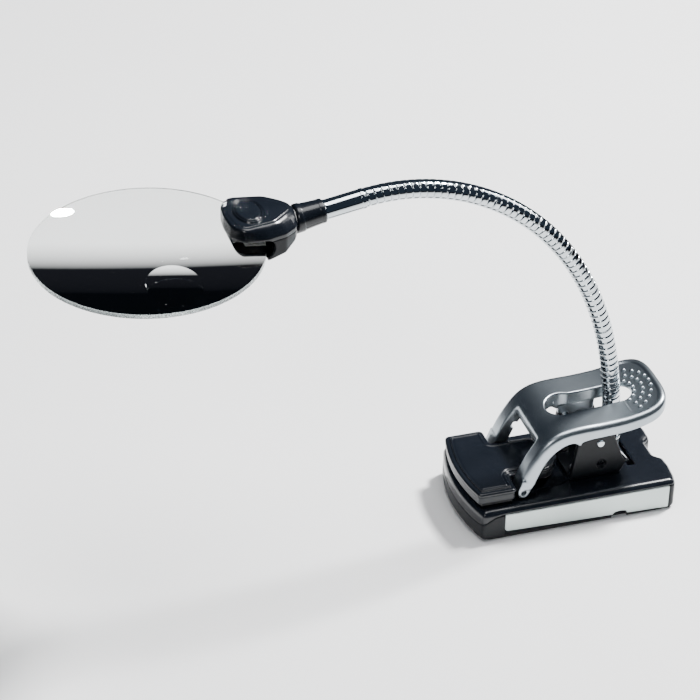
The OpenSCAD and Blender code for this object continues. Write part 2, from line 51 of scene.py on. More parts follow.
# ---------------------------------------------------------------- numbers shared with the CAD, mm
NECK_FOOT = (28.4, 31.0)
SEGMENTS, SEGMENT, FIRST_TURN, TURN_STEP = 9, 26.9, 5.5, 1.4
PIVOT = (16.7, 37.7)
JAW_HINGE = (-26.8, 21.1)
HALF_WIDTH = 30.75
FRONT, BULGE, REAR, TOP = -50.0, 5.5, 56.0, 17.5
FRONT_R = (HALF_WIDTH ** 2 + BULGE ** 2) / (2 * BULGE)
FRONT_C = FRONT - BULGE + FRONT_R
SEAM = TOP - 2.8
TRIM = (-38.5, 50.5)


def heading(i):
    """The neck's direction at its i-th joint: each segment turns a little more than the one before."""
    return math.radians(90 + FIRST_TURN * i + TURN_STEP * i * (i - 1) / 2)


def neck_point(s):
    """(x, z, heading) at the length s along the neck's centre line."""
    x, z = NECK_FOOT
    i = 0
    while True:
        a, b = heading(i), heading(i + 1)
        if i >= SEGMENTS:
            return x + math.cos(a) * s, z + math.sin(a) * s, a
        r = SEGMENT / (b - a)
        if s <= SEGMENT:
            h = a + (b - a) * s / SEGMENT
            return x + r * (math.sin(h) - math.sin(a)), z + r * (math.cos(a) - math.cos(h)), h
        x, z = x + r * (math.sin(b) - math.sin(a)), z + r * (math.cos(a) - math.cos(b))
        s -= SEGMENT
        i += 1


# ---------------------------------------------------------------- materials
def new_material(name):
    m = bpy.data.materials.new(name)
    m.use_nodes = True
    nt = m.node_tree
    return m, nt, nt.nodes["Principled BSDF"]


def noise(nt, scale, detail=3.0, stretch=(1, 1, 1)):
    """A noise texture in the object's own coordinates; scale is per metre."""
    tc = nt.nodes.new("ShaderNodeTexCoord")
    mp = nt.nodes.new("ShaderNodeMapping")
    mp.inputs["Scale"].default_value = stretch
    n = nt.nodes.new("ShaderNodeTexNoise")
    n.inputs["Scale"].default_value = scale
    n.inputs["Detail"].default_value = detail
    nt.links.new(tc.outputs["Object"], mp.inputs["Vector"])
    nt.links.new(mp.outputs["Vector"], n.inputs["Vector"])
    return n.outputs["Fac"]


def ramp(nt, fac, stops):
    r = nt.nodes.new("ShaderNodeValToRGB")
    e = r.color_ramp.elements
    while len(e) < len(stops):
        e.new(0.5)
    for k, (p, c) in enumerate(stops):
        e[k].position = p
        e[k].color = (c, c, c, 1) if isinstance(c, (int, float)) else (*c, 1)
    nt.links.new(fac, r.inputs["Fac"])
    return r.outputs["Color"]


def bump(nt, fac, bsdf, strength, distance):
    b = nt.nodes.new("ShaderNodeBump")
    b.inputs["Strength"].default_value = strength
    b.inputs["Distance"].default_value = distance * MM
    nt.links.new(fac, b.inputs["Height"])
    nt.links.new(b.outputs["Normal"], bsdf.inputs["Normal"])


def finish_of(name, dark, light, rough, metallic=0.0, grain=900.0, grain_mm=0.02, strength=0.25,
              blotch=45.0, stretch=(1, 1, 1), **sockets):
    """Colour and roughness vary between two values over soft blotches, with a fine grain in the bump."""
    m, nt, bsdf = new_material(name)
    patches = noise(nt, blotch, 4.0, stretch)
    nt.links.new(ramp(nt, patches, [(0.3, dark), (0.7, light)]), bsdf.inputs["Base Color"])
    fine = noise(nt, grain * 0.35, 5.0, stretch)
    nt.links.new(ramp(nt, fine, [(0.3, rough[0]), (0.72, rough[1])]), bsdf.inputs["Roughness"])
    if strength:
        bump(nt, noise(nt, grain, 2.0, stretch), bsdf, strength, grain_mm)
    bsdf.inputs["Metallic"].default_value = metallic
    for k, v in sockets.items():
        bsdf.inputs[k.replace("_", " ")].default_value = v
    return m


GLOSS = finish_of("black_gloss", (0.0035, 0.005, 0.008), (0.006, 0.008, 0.012), (0.2, 0.24),
                  grain=1400, grain_mm=0.002, strength=0.05, Specular_IOR_Level=0.45)
SATIN = finish_of("black_satin", (0.004, 0.005, 0.007), (0.008, 0.010, 0.013), (0.34, 0.4),
                  grain=1900, grain_mm=0.006, strength=0.15, Specular_IOR_Level=0.2)
DARK = finish_of("dark_satin", (0.010, 0.012, 0.015), (0.018, 0.021, 0.025), (0.3, 0.36),
                 grain=1900, grain_mm=0.015, strength=0.15, Specular_IOR_Level=0.35)
SILVER = finish_of("silver", (0.33, 0.37, 0.40), (0.38, 0.42, 0.45), (0.29, 0.32), metallic=1.0,
                   grain=2600, grain_mm=0.002, strength=0.05)
STRIP = finish_of("strip_silver", (0.50, 0.57, 0.55), (0.57, 0.64, 0.62), (0.3, 0.4),
                  metallic=0.55, grain=2600, grain_mm=0.008, strength=0.15)
CHROME = finish_of("chrome", (0.50, 0.545, 0.57), (0.60, 0.64, 0.665), (0.06, 0.11), metallic=1.0,
                   grain=1500, grain_mm=0.004, strength=0.08)
WIRE = finish_of("spring_wire", (0.62, 0.63, 0.65), (0.76, 0.77, 0.78), (0.1, 0.18), metallic=1.0,
                 grain=1800, grain_mm=0.006, strength=0.12)
STEEL = finish_of("steel", (0.34, 0.34, 0.35), (0.46, 0.46, 0.47), (0.28, 0.42), metallic=1.0,
                  grain=1600, grain_mm=0.01, strength=0.2, stretch=(1, 6, 1))
RUBBER = finish_of("rubber", (0.010, 0.010, 0.010), (0.022, 0.022, 0.023), (0.62, 0.8),
                   grain=1500, grain_mm=0.05, strength=0.5)
SLEEVE = finish_of("cell_sleeve", (0.02, 0.10, 0.075), (0.03, 0.14, 0.10), (0.2, 0.3),
                   metallic=0.3, grain=900, grain_mm=0.01, strength=0.1)
BOARD = finish_of("board", (0.012, 0.09, 0.035), (0.02, 0.13, 0.05), (0.3, 0.42),
                  grain=1200, grain_mm=0.03, strength=0.3)
WHITE = finish_of("white_board", (0.62, 0.62, 0.59), (0.72, 0.72, 0.70), (0.35, 0.5),
                  grain=1200, grain_mm=0.02, strength=0.2)
LED = finish_of("led", (0.75, 0.62, 0.16), (0.85, 0.76, 0.30), (0.3, 0.4),
                grain=2500, grain_mm=0.02, strength=0.3)


def clear_material(name, tint, rough, ior=1.49):
    m, nt, bsdf = new_material(name)
    dust = noise(nt, 300, 6.0)
    nt.links.new(ramp(nt, dust, [(0.35, rough), (0.8, rough + 0.012)]), bsdf.inputs["Roughness"])
    nt.links.new(ramp(nt, noise(nt, 25, 2.0), [(0.3, tint), (0.7, tuple(min(1, v * 1.01) for v in tint))]),
                 bsdf.inputs["Base Color"])
    bsdf.inputs["Transmission Weight"].default_value = 1.0
    bsdf.inputs["IOR"].default_value = ior
    return m


CLEAR = clear_material("lens_clear", (0.955, 0.975, 0.965), 0.0, 1.59)
EDGE = finish_of("lens_ground_edge", (0.60, 0.68, 0.67), (0.72, 0.80, 0.79), (0.22, 0.32), grain=2500,
                 grain_mm=0.02, strength=0.3, Transmission_Weight=0.75, IOR=1.59)
FROST = clear_material("window_frost", (0.93, 0.95, 0.95), 0.3)


# ---------------------------------------------------------------- making meshes
def smooth(me):
    me.polygons.foreach_set("use_smooth", [True] * len(me.polygons))


def add(name, verts, faces, material):
    """A smooth mesh from points in mm."""
    me = bpy.data.meshes.new(name)
    me.from_pydata([tuple(float(c) * MM for c in v) for v in verts], [],
                   [tuple(map(int, f)) for f in faces])
    me.validate()
    me.materials.append(material)
    ob = bpy.data.objects.new(name, me)
    bpy.context.scene.collection.objects.link(ob)
    bm = bmesh.new()
    bm.from_mesh(me)
    bmesh.ops.recalc_face_normals(bm, faces=bm.faces)
    bm.to_mesh(me)
    bm.free()
    smooth(me)
    return ob


def place(ob, body, slot, *replaced):
    """Ties a piece to its body, in place of the CAD nodes named; slot is not used."""
    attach(ob, body)
    if replaced:
        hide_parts(*replaced)
    return ob


def apply_modifier(ob, kind, **settings):
    """Bakes a modifier into the piece's own mesh."""
    md = ob.modifiers.new(kind.lower(), kind)
    for k, v in settings.items():
        setattr(md, k, v)
    bpy.context.view_layer.update()
    dg = bpy.context.evaluated_depsgraph_get()
    me = bpy.data.meshes.new_from_object(ob.evaluated_get(dg))
    old = ob.data
    ob.modifiers.remove(md)
    ob.data = me
    bpy.data.meshes.remove(old)


def lathe(name, profile, origin, axis, material, n=72):
    """A closed profile of (radius, distance along the axis), turned about the axis."""
    w = Vector(axis).normalized()
    u = w.orthogonal().normalized()
    v = w.cross(u)
    o = Vector(origin)
    verts, faces, ring = [], [], []
    for r, s in profile:
        if r < 1e-6:
            ring.append([len(verts)])
            verts.append(o + w * s)
        else:
            ring.append(list(range(len(verts), len(verts) + n)))
            for k in range(n):
                a = 2 * math.pi * k / n
                verts.append(o + w * s + (u * math.cos(a) + v * math.sin(a)) * r)
    closed = profile[0][0] > 1e-6
    pairs = list(zip(ring, ring[1:])) + ([(ring[-1], ring[0])] if closed else [])
    for a, b in pairs:
        for k in range(n):
            k2 = (k + 1) % n
            if len(a) == 1:
                faces.append((a[0], b[k], b[k2]))
            elif len(b) == 1:
                faces.append((a[k], b[0], a[k2]))
            else:
                faces.append((a[k], b[k], b[k2], a[k2]))
    return add(name, verts, faces, material)


def fillet(points, n=6):
    """An open line of (a, b, radius) with each corner rounded in n steps; no radius is a sharp corner."""
    out = []
    for i, p in enumerate(points):
        r = p[2] if len(p) > 2 else 0
        if r <= 0 or i in (0, len(points) - 1):
            out.append((p[0], p[1]))
            continue
        c = np.array(p[:2], float)
        u = np.array(points[i - 1][:2], float) - c
        v = np.array(points[i + 1][:2], float) - c
        u /= np.linalg.norm(u)
        v /= np.linalg.norm(v)
        half = math.acos(max(-1, min(1, float(u @ v)))) / 2
        if half > math.radians(89):
            out.append(tuple(c))
            continue
        d = r / math.tan(half)
        o = c + (u + v) / np.linalg.norm(u + v) * r / math.sin(half)
        s, e = c + u * d - o, c + v * d - o
        a0, a1 = math.atan2(s[1], s[0]), math.atan2(e[1], e[0])
        da = (a1 - a0 + math.pi) % (2 * math.pi) - math.pi
        out += [tuple(o + r * np.array([math.cos(a0 + da * k / n), math.sin(a0 + da * k / n)]))
                for k in range(n + 1)]
    return out


def fillet_ring(points, n=6):
    """The same for a closed outline."""
    m = len(points)
    ext = [points[-1]] + list(points) + [points[0]]
    out = []
    for i in range(1, m + 1):
        out += fillet([ext[i - 1], ext[i], ext[i + 1]], n)[1:-1]
    return out


def mirrored(q):
    """Half an outline, from its rear to its front at positive y, with its mirror image."""
    return list(q) + [(p[0], -p[1], *p[2:]) for p in reversed(q) if abs(p[1]) > 1e-9]


def spline(points, n=8):
    """A smooth line through the points."""
    P = [np.array(p, float) for p in points]
    P = [2 * P[0] - P[1]] + P + [2 * P[-1] - P[-2]]
    out = []
    for i in range(1, len(P) - 2):
        for k in range(n):
            t = k / n
            out.append(0.5 * (2 * P[i] + (P[i + 1] - P[i - 1]) * t
                              + (2 * P[i - 1] - 5 * P[i] + 4 * P[i + 1] - P[i + 2]) * t * t
                              + (3 * P[i] - P[i - 1] - 3 * P[i + 1] + P[i + 2]) * t ** 3))
    return [tuple(p) for p in out + [P[-2]]]


# A solid is a field of signed distances on a grid, negative inside, and its skin is drawn where it is 0.
class Grid:
    """Points h apart that fill the box from lo to hi."""

    def __init__(self, lo, hi, h):
        self.h = h
        self.lo = np.array(lo, float)
        n = [int(math.ceil((b - a) / h)) + 1 for a, b in zip(lo, hi)]
        self.axes = [self.lo[k] + h * np.arange(n[k]) for k in range(3)]
        self.x = self.axes[0][:, None, None]
        self.y = self.axes[1][None, :, None]
        self.z = self.axes[2][None, None, :]
        self.shape = tuple(n)

    def flat(self, poly, plane):
        """Signed distance to a closed outline lying in the xy or xz plane."""
        across = {"xy": 1, "xz": 2}[plane]
        d = polygon_distance(poly, *np.meshgrid(self.axes[0], self.axes[across], indexing="ij"))
        return d[:, :, None] if plane == "xy" else d[:, None, :]


def polygon_distance(poly, X, Y):
    """Distance to the nearest edge, negative inside."""
    P = np.array(poly, float)
    Q = np.roll(P, -1, 0)
    best = np.full(X.shape, 1e9)
    inside = np.zeros(X.shape, bool)
    for (ax, ay), (bx, by) in zip(P, Q):
        ex, ey = bx - ax, by - ay
        L = ex * ex + ey * ey
        if L < 1e-12:
            continue
        t = np.clip(((X - ax) * ex + (Y - ay) * ey) / L, 0, 1)
        best = np.minimum(best, (X - ax - t * ex) ** 2 + (Y - ay - t * ey) ** 2)
        if ay != by:
            cross = (ay > Y) != (by > Y)
            inside ^= cross & (X < ex * (Y - ay) / (by - ay) + ax)
    d = np.sqrt(best)
    return np.where(inside, -d, d)


def both(a, b, r=0.0):
    """The space in both, its new edges rounded to r."""
    if r <= 0:
        return np.maximum(a, b)
    return np.minimum(-r, np.maximum(a, b)) + np.hypot(np.maximum(a + r, 0), np.maximum(b + r, 0))


def either(a, b, r=0.0):
    return -both(-a, -b, r)


def less(a, b, r=0.0):
    return both(a, -b, r)


def within(*fields):
    """The space in all the fields, its edges sharp."""
    return functools.reduce(np.maximum, fields)


def box_field(g, lo, hi):
    c = [(a + b) / 2 for a, b in zip(lo, hi)]
    e = [(b - a) / 2 for a, b in zip(lo, hi)]
    return within(np.abs(g.x - c[0]) - e[0], np.abs(g.y - c[1]) - e[1], np.abs(g.z - c[2]) - e[2])


def across(g, centre, r):
    """An endless round bar along y, about the (x, z) centre."""
    return np.hypot(g.x - centre[0], g.z - centre[1]) - r


def upright(g, centre, r):
    """An endless round post at the (x, y) centre and its twin on the other side."""
    return np.hypot(g.x - centre[0], np.abs(g.y) - centre[1]) - r


def sample(F, q):
    """The field at grid coordinates q, between its points."""
    q = np.clip(q, 0, np.array(F.shape) - 1.001)
    i = q.astype(int)
    f = q - i
    out = 0
    for c in range(8):
        o = ((c >> 2) & 1, (c >> 1) & 1, c & 1)
        w = np.prod([f[:, k] if o[k] else 1 - f[:, k] for k in range(3)], axis=0)
        out = out + w * F[i[:, 0] + o[0], i[:, 1] + o[1], i[:, 2] + o[2]]
    return out


def skin(name, g, F, material, keep=0.35):
    """The surface of a field, as a mesh thinned to the part to keep of its triangles."""
    F = np.broadcast_to(F, g.shape).astype(np.float32)
    F = np.pad(F[1:-1, 1:-1, 1:-1], 1, constant_values=1.0)
    ins = F < 0
    count = sum(ins[a:ins.shape[0] - 1 + a, b:ins.shape[1] - 1 + b, c:ins.shape[2] - 1 + c].astype(np.int8)
                for a in (0, 1) for b in (0, 1) for c in (0, 1))
    cells = np.argwhere((count > 0) & (count < 8))
    index = np.full(count.shape, -1, np.int64)
    index[tuple(cells.T)] = np.arange(len(cells))
    total = np.zeros((len(cells), 3))
    hits = np.zeros(len(cells))
    for axis in range(3):
        e = np.eye(3, dtype=int)[axis]
        o1, o2 = [np.eye(3, dtype=int)[k] for k in range(3) if k != axis]
        for s1 in (0, 1):
            for s2 in (0, 1):
                a = cells + s1 * o1 + s2 * o2
                fa, fb = F[tuple(a.T)], F[tuple((a + e).T)]
                m = (fa < 0) != (fb < 0)
                t = fa[m] / (fa[m] - fb[m])
                total[m] += a[m] + t[:, None] * e
                hits[m] += 1
    q = total / hits[:, None]
    for _ in range(3):
        grad = np.stack([sample(F, q + 0.5 * d) - sample(F, q - 0.5 * d) for d in np.eye(3)], 1)
        n2 = np.maximum((grad ** 2).sum(1), 1e-9)
        step = -(sample(F, q) / n2)[:, None] * grad
        size = np.linalg.norm(step, axis=1, keepdims=True)
        q = q + step * np.minimum(1, 0.35 / np.maximum(size, 1e-9))
    faces = []
    for axis in range(3):
        e = np.eye(3, dtype=int)[axis]
        o1, o2 = [np.eye(3, dtype=int)[k] for k in range(3) if k != axis]
        lo = [slice(0, n - 1) if k == axis else slice(1, n - 1) for k, n in enumerate(F.shape)]
        hi = [slice(1, n) if k == axis else slice(1, n - 1) for k, n in enumerate(F.shape)]
        at = np.argwhere(ins[tuple(lo)] != ins[tuple(hi)])
        at += np.array([0 if k == axis else 1 for k in range(3)])
        faces.append(np.stack([index[tuple((at - a * o1 - b * o2).T)]
                               for a, b in ((0, 0), (1, 0), (1, 1), (0, 1))], 1))
    faces = np.concatenate(faces)
    ob = add(name, g.lo + g.h * q, faces, material)
    if keep < 1:
        apply_modifier(ob, "DECIMATE", ratio=keep)
        smooth(ob.data)
    return ob


# ---------------------------------------------------------------- base
# the room inside the two shells: the front wall's thickness, and where the other walls begin
SHELL_ROOM = {"front": 2, "rear": 50, "half": 27.9, "ceiling": 15.3, "floor": 2.8}
SCREWS_X, SCREWS_Y = (-46.5, 46), 25.4
SEAM_PLAY = 0.09  # each shell stops this far from the seam


def base_outline():
    """The base from above: a shallow arc in front, and a rear edge with a half-round notch."""
    half = math.asin(HALF_WIDTH / FRONT_R)
    front = [(FRONT_C - FRONT_R * math.cos(a), FRONT_R * math.sin(a)) for a in np.linspace(0, half, 40)]
    side = [(*front[-1], 2.6), (REAR - 2.6, HALF_WIDTH, 3.5), (REAR - 0.9, 24.5, 8), (REAR - 0.05, 16, 8),
            (REAR - 0.5, 9.4, 3), (REAR - 4.4, 5.6, 3.2)]
    q = fillet([front[-2]] + side + [(REAR - 4.4, 0)], 8)
    half_line = front[:-1] + q[1:-1]
    return half_line + [(x, -y) for x, y in reversed(half_line) if abs(y) > 1e-9]


def base_shells():
    """The cover and the tray: one rounded block, parted along the seam and hollowed."""
    g = Grid((-57, -32, 0), (57, 32, 19), 0.45)
    body = both(g.flat(base_outline(), "xy"), g.z - TOP, 3.6)
    body = both(body, 1.2 - g.z, 1.2)
    seam = fillet([(-80, 9.3), (-51.5, 9.3, 3), (-43.5, 14, 3), (-37.5, SEAM, 2), (70, SEAM)], 6)
    above = g.flat(seam + [(70, 90), (-80, 90)], "xz")
    front_wall = np.hypot(g.x - FRONT_C, g.y) - (FRONT_R - SHELL_ROOM["front"])
    room = within(front_wall, g.x - SHELL_ROOM["rear"], np.abs(g.y) - SHELL_ROOM["half"])

    cover = both(body, above + SEAM_PLAY, 0.35)
    cover = less(cover, within(room, g.z - SHELL_ROOM["ceiling"]))
    # the shallow pocket under the jaw, the spring's slot and the neck's hole
    pocket = fillet_ring(mirrored([(-33, 24.5, 2), (-20, 24.5, 3), (-17, 17, 3), (2.5, 17, 8)]))
    cover = less(cover, both(g.flat(pocket, "xy"), TOP - 0.9 - g.z, 0.5), 0.45)
    cover = less(cover, box_field(g, (34.9, -11.5, 10), (38.9, 11.5, 30)), 0.5)
    cover = less(cover, within(upright(g, (NECK_FOOT[0], 0), 4.05), 10 - g.z))
    post = np.minimum(*[upright(g, (x, SCREWS_Y), 2.4) for x in SCREWS_X])
    cover = either(cover, within(post, 2.85 - g.z, g.z - 15.5))
    place(skin("base_cover_shell", g, cover, GLOSS, 1), "base", "black_gloss", "base_cover")

    tray = both(body, -above + SEAM_PLAY, 0.35)
    tray = less(tray, within(room, SHELL_ROOM["floor"] - g.z))
    # the beds of the strips, the battery door's way with the cells' opening over it, and the side arches
    tray = less(tray, both(within(TRIM[0] - g.x, g.x - TRIM[1]), HALF_WIDTH - 1.25 - np.abs(g.y)))
    tray = less(tray, within(g.x + 8.9, np.abs(g.y) - 22.9, g.z - 2.45), 0.2)
    tray = less(tray, within(g.x + 9.5, np.abs(g.y) - 22.9, -42.5 - g.x))
    tray = less(tray, within(across(g, (24, 0), 4.2), SHELL_ROOM["half"] - np.abs(g.y)), 0.3)
    place(skin("base_tray_shell", g, tray, SATIN, 0.3), "base", "black_satin", "base_tray")


def side_strips():
    """The two silver strips, with their lower edge arched over the side openings."""
    for s, side in ((1, "left"), (-1, "right")):
        lo, hi = sorted((s * (HALF_WIDTH - 2.2), s * (HALF_WIDTH + 1)))
        g = Grid((TRIM[0] - 1, lo, 0), (TRIM[1] + 1, hi, 16), 0.22)
        line = fillet_ring([(TRIM[0] + 0.1, 4.4, 2.2), (20, 2.6), (21, 3.9, 0.8), (24, 4.4, 2),
                            (27, 3.9, 0.8), (28, 2.3), (TRIM[1] - 0.1, 1.5, 0.6),
                            (TRIM[1] - 0.1, SEAM - 0.1), (TRIM[0] + 0.1, SEAM - 0.1, 0.5)])
        f = both(g.flat(line, "xz"), s * g.y - (HALF_WIDTH - 0.02), 0.4)
        f = both(f, HALF_WIDTH - 1.2 - s * g.y)
        place(skin("side_strip_" + side, g, f, STRIP, 0.25), "base", "silver", "side_trim_" + side)


def bracket():
    """Two ears on one plate."""
    g = Grid((-1, -17.5, 16), (33, 17.5, 44), 0.35)
    ear = fillet_ring([(1.5, 16), (1.5, TOP), (5.2, 42.3, 2.4), (23.6, 42.3, 2.4), (31.3, 22.6, 2.8),
                       (27.4, 16, 1)])
    ear = both(g.flat(ear, "xz"), TOP - g.z)
    f = both(ear, np.abs(np.abs(g.y) - 14.5) - 1.5, 0.5)
    f = np.minimum(f, box_field(g, (1.6, -13.2, TOP), (21.4, 13.2, TOP + 1.5)))
    f = less(f, across(g, PIVOT, 1.65))
    f = less(f, across(g, (18, 24.4), 2.5), 0.3)
    f = less(f, upright(g, (7, 8.5), 1.6))
    place(skin("bracket_ears", g, f, SATIN, 0.3), "base", "black_satin", "pivot_bracket")


def pivot_pin():
    head = fillet([(0, 16.8), (1.7, 16.8, 0.5), (2.3, 16.0, 0.1), (1.6, 16.0), (1.6, 0)], 5)[1:-1]
    profile = [(0, 16.8)] + head + [(r, -s) for r, s in reversed(head)] + [(0, -16.8)]
    pin = lathe("hinge_pin", profile, (PIVOT[0], 0, PIVOT[1]), (0, 1, 0), CHROME, 48)
    place(pin, "base", "chrome", "pivot_pin")


# ---------------------------------------------------------------- wires
def tube(name, path, radius, material, n=14):
    """A round wire along a path, with flat ends."""
    P = np.array(path, float)
    T = np.gradient(P, axis=0)
    T /= np.linalg.norm(T, axis=1)[:, None]
    N = np.cross(T[0], (0.1, 1, 0.05))
    N /= np.linalg.norm(N)
    verts, faces = [], []
    for i, (p, t) in enumerate(zip(P, T)):
        N = N - (N @ t) * t
        N /= np.linalg.norm(N)
        B = np.cross(t, N)
        verts += [p + radius * (math.cos(a) * N + math.sin(a) * B)
                  for a in np.arange(n) * 2 * math.pi / n]
    for i in range(len(P) - 1):
        for k in range(n):
            a, b = i * n + k, i * n + (k + 1) % n
            faces.append((a, b, b + n, a + n))
    faces += [tuple(range(n - 1, -1, -1)), tuple(range((len(P) - 1) * n, len(P) * n))]
    return add(name, verts, faces, material)


WIRE_R, COIL_R, COIL_TURNS, COIL_PITCH = 0.7, 3.4, 2.786, 1.55


def spring():
    """Two coils round the pin, joined behind the bracket by a loop that hooks into the base's slot."""
    steps = 120

    def coil(side):
        return [(PIVOT[0] + COIL_R * math.cos(a), side * (2.65 + k * COIL_TURNS * COIL_PITCH / steps),
                 PIVOT[1] + COIL_R * math.sin(a))
                for k in range(steps + 1) for a in [math.radians(-40 - k * COIL_TURNS * 360 / steps)]]

    def loop(side):
        return [(21.0, side * 7.0, 37.7), (28, side * 7.15, 28.4), (34.6, side * 7.3, 19.7),
                (35.6, side * 7.25, 18.3), (36.45, side * 7.0, 17.2), (36.85, side * 6.4, 16.5),
                (36.9, side * 5.5, 16.2)]

    left, right = coil(1), coil(-1)
    rest = spline([left[-1]] + loop(1) + [(36.9, 0, 16.2)] + loop(-1)[::-1] + [right[-1]], 5)
    wire = tube("spring_coil", left[:-1] + rest[:-1] + right[::-1], WIRE_R, WIRE)
    place(wire, "base", "spring_wire", "torsion_spring")


def spring_legs():
    """The spring's two inner ends, which press on the lever and turn with it."""
    for side, what in ((1, "left"), (-1, "right")):
        bend = [(PIVOT[0] + COIL_R * math.cos(a), side * 2.2, PIVOT[1] + COIL_R * math.sin(a))
                for a in np.radians(np.linspace(20, 80, 16))]
        a = math.radians(80)
        end = bend[-1]
        line = [(end[0] - math.sin(a) * t, side * 2.2, end[2] + math.cos(a) * t)
                for t in (0.5, 2, 5, 8, 11, 14.4)]
        leg = tube("spring_leg_" + what, bend + line, WIRE_R, WIRE)
        place(leg, "lever", "spring_wire", *(["spring_legs"] if side > 0 else []))


# ---------------------------------------------------------------- lever
LEVER_TOP = spline([(-30, 22.5), (-27, 30.6), (-24, 37), (-20.9, 42.2), (-17.5, 46.9), (-13.6, 50.5),
                    (-8.6, 53), (-3, 54.2), (4, 54.7), (15, 54.9), (26, 55.7), (33, 56.9),
                    (39, 58.4), (45, 60.4), (51, 62.9), (54.5, 64.5)])
LEVER_LOW = (spline([(-21.2, 25.6), (-18, 33.2), (-15.8, 37.4), (-13, 41), (-10, 43.6), (-5.9, 46),
                     (-1.4, 46.6), (1.6, 44.8)]) + spline([(2.6, 44.8), (3.4, 46.4), (8, 47.3), (15, 47.7),
                     (26, 48.4), (34, 49.8), (40.5, 51.6), (46.6, 53.8), (56, 58)]))
WEB_LOW = spline([(-17.2, 41.5), (-14, 45), (-10.6, 47.9), (-6.9, 49.9), (-2.3, 51), (4, 51.5),
                  (15, 51.7), (25.5, 52.4), (32.2, 53.5), (38, 55), (44, 57), (53, 60.8)])
LEVER_HALF, ARM_GAP = 24.4, 14.8
SLOT_FRONT, SLOT_REAR = (1.3, 9), (30.2, 7.5)
GRIP_X, GRIP_DEEP = 31, 0.45


def paddle(inset):
    """The lever from above, moved in by inset: the end is rounder than a box, squarer than a circle."""
    h = LEVER_HALF - inset
    return [(-45, -h)] + [(32 + (20 - inset) * max(math.cos(a), 0) ** 0.6,
                           h * math.copysign(abs(math.sin(a)) ** 0.6, a))
                          for a in np.linspace(-math.pi / 2, math.pi / 2, 81)] + [(-45, h)]


def slot_field(g, grow=0.0):
    """The keyhole slot, a wide round end in front and a narrower one round the neck, made wider by grow."""
    f = np.minimum(*[np.hypot(g.x - x, g.y) - r for x, r in (SLOT_FRONT, SLOT_REAR)])
    half = (SLOT_REAR[0] - SLOT_FRONT[0]) / 2
    between = within(np.abs(g.y) - SLOT_REAR[1], np.abs(g.x - SLOT_FRONT[0] - half) - half)
    return either(f, between, 0.8) - grow


def lever():
    """One hollow moulding: two arms, a window between them, and a grip with the slot for the neck."""
    g = Grid((-31, -25.5, 17.5), (53, 25.5, 65.5), 0.4)
    top = g.flat(LEVER_TOP + [(60, 67), (62, 0), (-60, -20), (-32, 16)], "xz")
    low = g.flat([(-32, 5), (-29, 12)] + LEVER_LOW + [(62, 61), (80, 100), (-80, 100)], "xz")
    plan = g.flat(paddle(0), "xy")
    body = both(both(plan, top, 3.2), low, 0.7)
    # the eyelets at the ends of the arms
    wedge = g.flat([(-29.8, 21.7), (-29.9, 22.6), (-27.5, 29), (-20.8, 26.4), (-23.95, 19.9)], "xz")
    ends = both(np.minimum(across(g, JAW_HINGE, 3.05), wedge), np.abs(g.y) - LEVER_HALF, 1.0)
    body = either(both(body, 23.4 - g.z), ends, 0.6)
    # hollow underneath, but for a wall round the slot
    hollow = within(g.flat(WEB_LOW + [(56, 30), (-21.2, 20)], "xz"), g.flat(paddle(2.6), "xy"),
                    np.where(np.abs(g.y) < ARM_GAP, -17.6 - g.x, -6.5 - g.x))
    hollow = less(hollow, both(slot_field(g, 1.6), g.x - 27), 0.3)
    body = less(body, hollow, 0.5)
    # the window between the arms
    body = less(body, both(g.x + 17.5, np.abs(g.y) - ARM_GAP, 1.5), 0.9)
    # the recess of the grip, inside its rim
    grip = both(g.flat(paddle(3.6), "xy"), GRIP_X - g.x, 4)
    body = less(body, both(grip, -GRIP_DEEP - top, 0.3), 0.5)
    body = less(body, slot_field(g), 0.9)
    # the notches in the arms' inner edges
    body = less(body, within(across(g, (-17.9, 34.8), 2), np.abs(g.y) - ARM_GAP - 3), 0.4)
    # the lugs on the pin, and the bar that the spring's legs press on
    lug = fillet_ring([(12.6, 36.5, 4), (16.7, 32.6, 4.2), (21.2, 36.5, 3), (22.5, 44), (23.5, 53),
                       (2, 52.6), (3.2, 41.5, 1.5)])
    body = either(body, both(g.flat(lug, "xz"), np.abs(np.abs(g.y) - 11) - 1.7, 0.4), 0.5)
    body = either(body, within(across(g, (7.4, 40.6), 1.35), np.abs(g.y) - 12.7), 0.4)
    body = less(body, within(across(g, PIVOT, 1.7), np.abs(g.y) - 20))
    body = less(body, across(g, JAW_HINGE, 1.35))
    place(skin("lever_body", g, body, SILVER, 1), "lever", "silver", "lever")


# (radius, how many, degrees between two) of each arc, and a stud's half profile of (radius, height)
STUD_X, STUD_ARCS = 28.6, ((18.2, 11, 13.2), (14.2, 9, 15.4), (10, 7, 20))
STUD_PROFILE = ((1.12, 0.0), (1.12, 0.35), (1.06, 0.6), (0.88, 0.88), (0.6, 1.08), (0.28, 1.18))
STUD_TIP, STUD_SIDES = 1.2, 18


